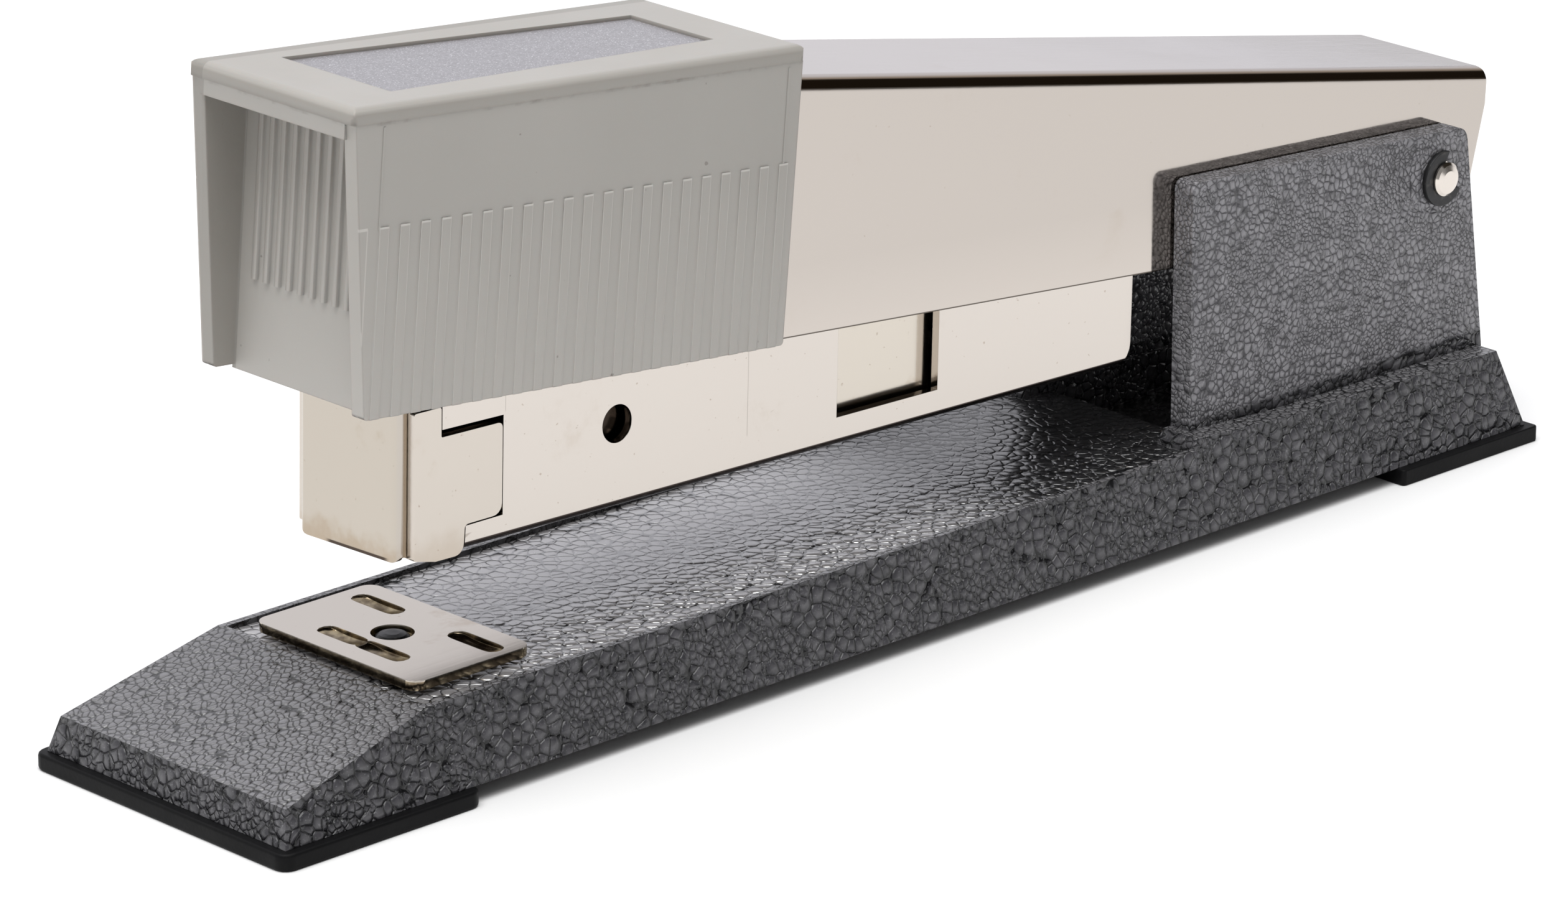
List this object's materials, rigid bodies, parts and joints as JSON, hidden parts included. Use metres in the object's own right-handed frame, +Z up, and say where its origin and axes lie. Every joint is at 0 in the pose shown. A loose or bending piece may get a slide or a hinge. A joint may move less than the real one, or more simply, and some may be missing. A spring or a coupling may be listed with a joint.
{
  "type": "desk stapler",
  "caption": "Heavy desk stapler with a painted cast base, turning anvil, plated staple magazine and a plated pressing arm under a ribbed plastic cap.",
  "frame": {"origin": "middle of the stapler's outline, on the table under the rubber pads", "axes": "+X from the nose towards the hinge along the base, +Y across, +Z up"},
  "size_m": [0.2209, 0.0466, 0.0861],
  "materials": {
    "paint": "dark grey hammertone enamel, glossy, pebbled",
    "rubber": "black moulded rubber, satin",
    "nickel": "bright nickel plate, slightly aged and warm",
    "steel": "bare drawn steel",
    "dark_steel": "blackened steel",
    "spring_steel": "oiled spring wire",
    "staple_wire": "galvanised staple wire",
    "plastic": "warm grey moulded plastic, satin",
    "foil": "sparkly silver foil plate"
  },
  "bodies": {
    "base": {"base_casting": "paint", "front_pad": "rubber", "rear_pad": "rubber", "hinge_pin": "nickel", "hinge_clips": "dark_steel", "lift_spring": "spring_steel", "anvil_spring": "spring_steel"},
    "anvil": {"anvil_plate": "nickel", "anvil_post": "dark_steel", "anvil_clip": "steel"},
    "magazine": {"outer_frame": "nickel", "nose_block": "nickel", "nose_spacers": "nickel", "nose_plate": "nickel", "nose_rivets": "steel", "inner_channel": "nickel", "staple_rail": "steel", "rail_rivets": "steel", "staple_strip": "staple_wire", "guide_rod": "steel", "rod_anchor": "steel", "pusher_spring": "spring_steel", "hinge_bush": "steel", "spring_pin": "steel", "return_spring": "spring_steel"},
    "pusher": {"pusher": "nickel"},
    "arm": {"arm_shell": "nickel", "driver_bracket": "steel", "bracket_rivets": "steel", "driver_blade": "steel", "driver_rivets": "steel", "cap": "plastic", "label_plate": "foil", "cap_screws": "steel"}
  },
  "joints": [
    {"name": "anvil_turn", "type": "hinge", "parent": "base", "child": "anvil", "pos_m": [-0.0732, 0, 0.0127], "axis": [0, 0, 1], "range_deg": [0, 180]},
    {"name": "magazine_swing", "type": "hinge", "parent": "base", "child": "magazine", "pos_m": [0.0977, 0, 0.038], "axis": [0, 1, 0], "range_deg": [-3.85, 30], "stiffness_Nm_per_rad": 3, "springref_deg": 5.73},
    {"name": "arm_swing", "type": "hinge", "parent": "magazine", "child": "arm", "pos_m": [0.0977, 0, 0.038], "axis": [0, 1, 0], "range_deg": [-3.3, 75], "stiffness_Nm_per_rad": 2.5, "springref_deg": 4.01},
    {"name": "pusher_slide", "type": "slide", "parent": "magazine", "child": "pusher", "axis": [0.9996, 0, -0.029], "range_m": [0, 0.05], "stiffness_N_per_m": 30, "springref_m": -0.03, "deforming": ["pusher_spring"]}
  ]
}
